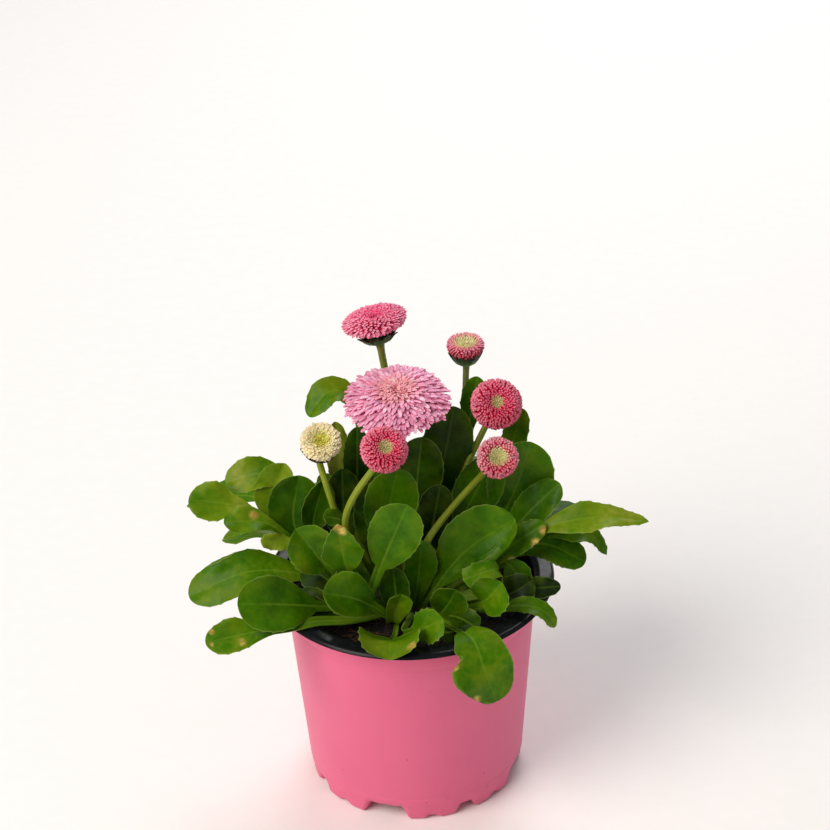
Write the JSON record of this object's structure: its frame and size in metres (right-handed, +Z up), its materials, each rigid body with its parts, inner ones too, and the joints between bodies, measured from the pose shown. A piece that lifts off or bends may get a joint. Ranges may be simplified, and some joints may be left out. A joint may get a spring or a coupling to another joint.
{
  "type": "potted english daisy",
  "caption": "English daisy in a round two-tone nursery pot: spoon-shaped toothed leaves in a rosette, with upright flower stems carrying dense pompon, button and open heads.",
  "frame": {"origin": "on the pot's axis, on the surface that the pot's feet stand on", "axes": "+Z up along the pot's axis, -Y towards the side that the picture shows, +X to that view's right"},
  "size_m": [0.1694, 0.1261, 0.1751],
  "materials": {
    "pot": "satin thermoformed polypropylene, pink outside, black inside and on the flange",
    "soil": "dark peat compost, matte",
    "rosette": "living leaf, semi-matte",
    "rays_rose_pompon": "soft petals, matte",
    "rays_open_pink": "soft petals, matte",
    "rays_small_bud": "soft petals, matte",
    "rays_crimson_right": "soft petals, matte",
    "rays_crimson_centre": "soft petals, matte",
    "rays_red_white_right": "soft petals, matte",
    "rays_cream_bud": "soft petals, matte",
    "disc_small_bud": "disc florets, matte",
    "disc_crimson_right": "disc florets, matte",
    "disc_crimson_centre": "disc florets, matte",
    "disc_red_white_right": "disc florets, matte",
    "disc_cream_bud": "disc florets, matte"
  },
  "bodies": {
    "root": {"pot": "pot", "soil": "soil", "rosette": "rosette", "rays_rose_pompon": "rays_rose_pompon", "rays_open_pink": "rays_open_pink", "rays_small_bud": "rays_small_bud", "rays_crimson_right": "rays_crimson_right", "rays_crimson_centre": "rays_crimson_centre", "rays_red_white_right": "rays_red_white_right", "rays_cream_bud": "rays_cream_bud", "disc_small_bud": "disc_small_bud", "disc_crimson_right": "disc_crimson_right", "disc_crimson_centre": "disc_crimson_centre", "disc_red_white_right": "disc_red_white_right", "disc_cream_bud": "disc_cream_bud"}
  },
  "joints": []
}
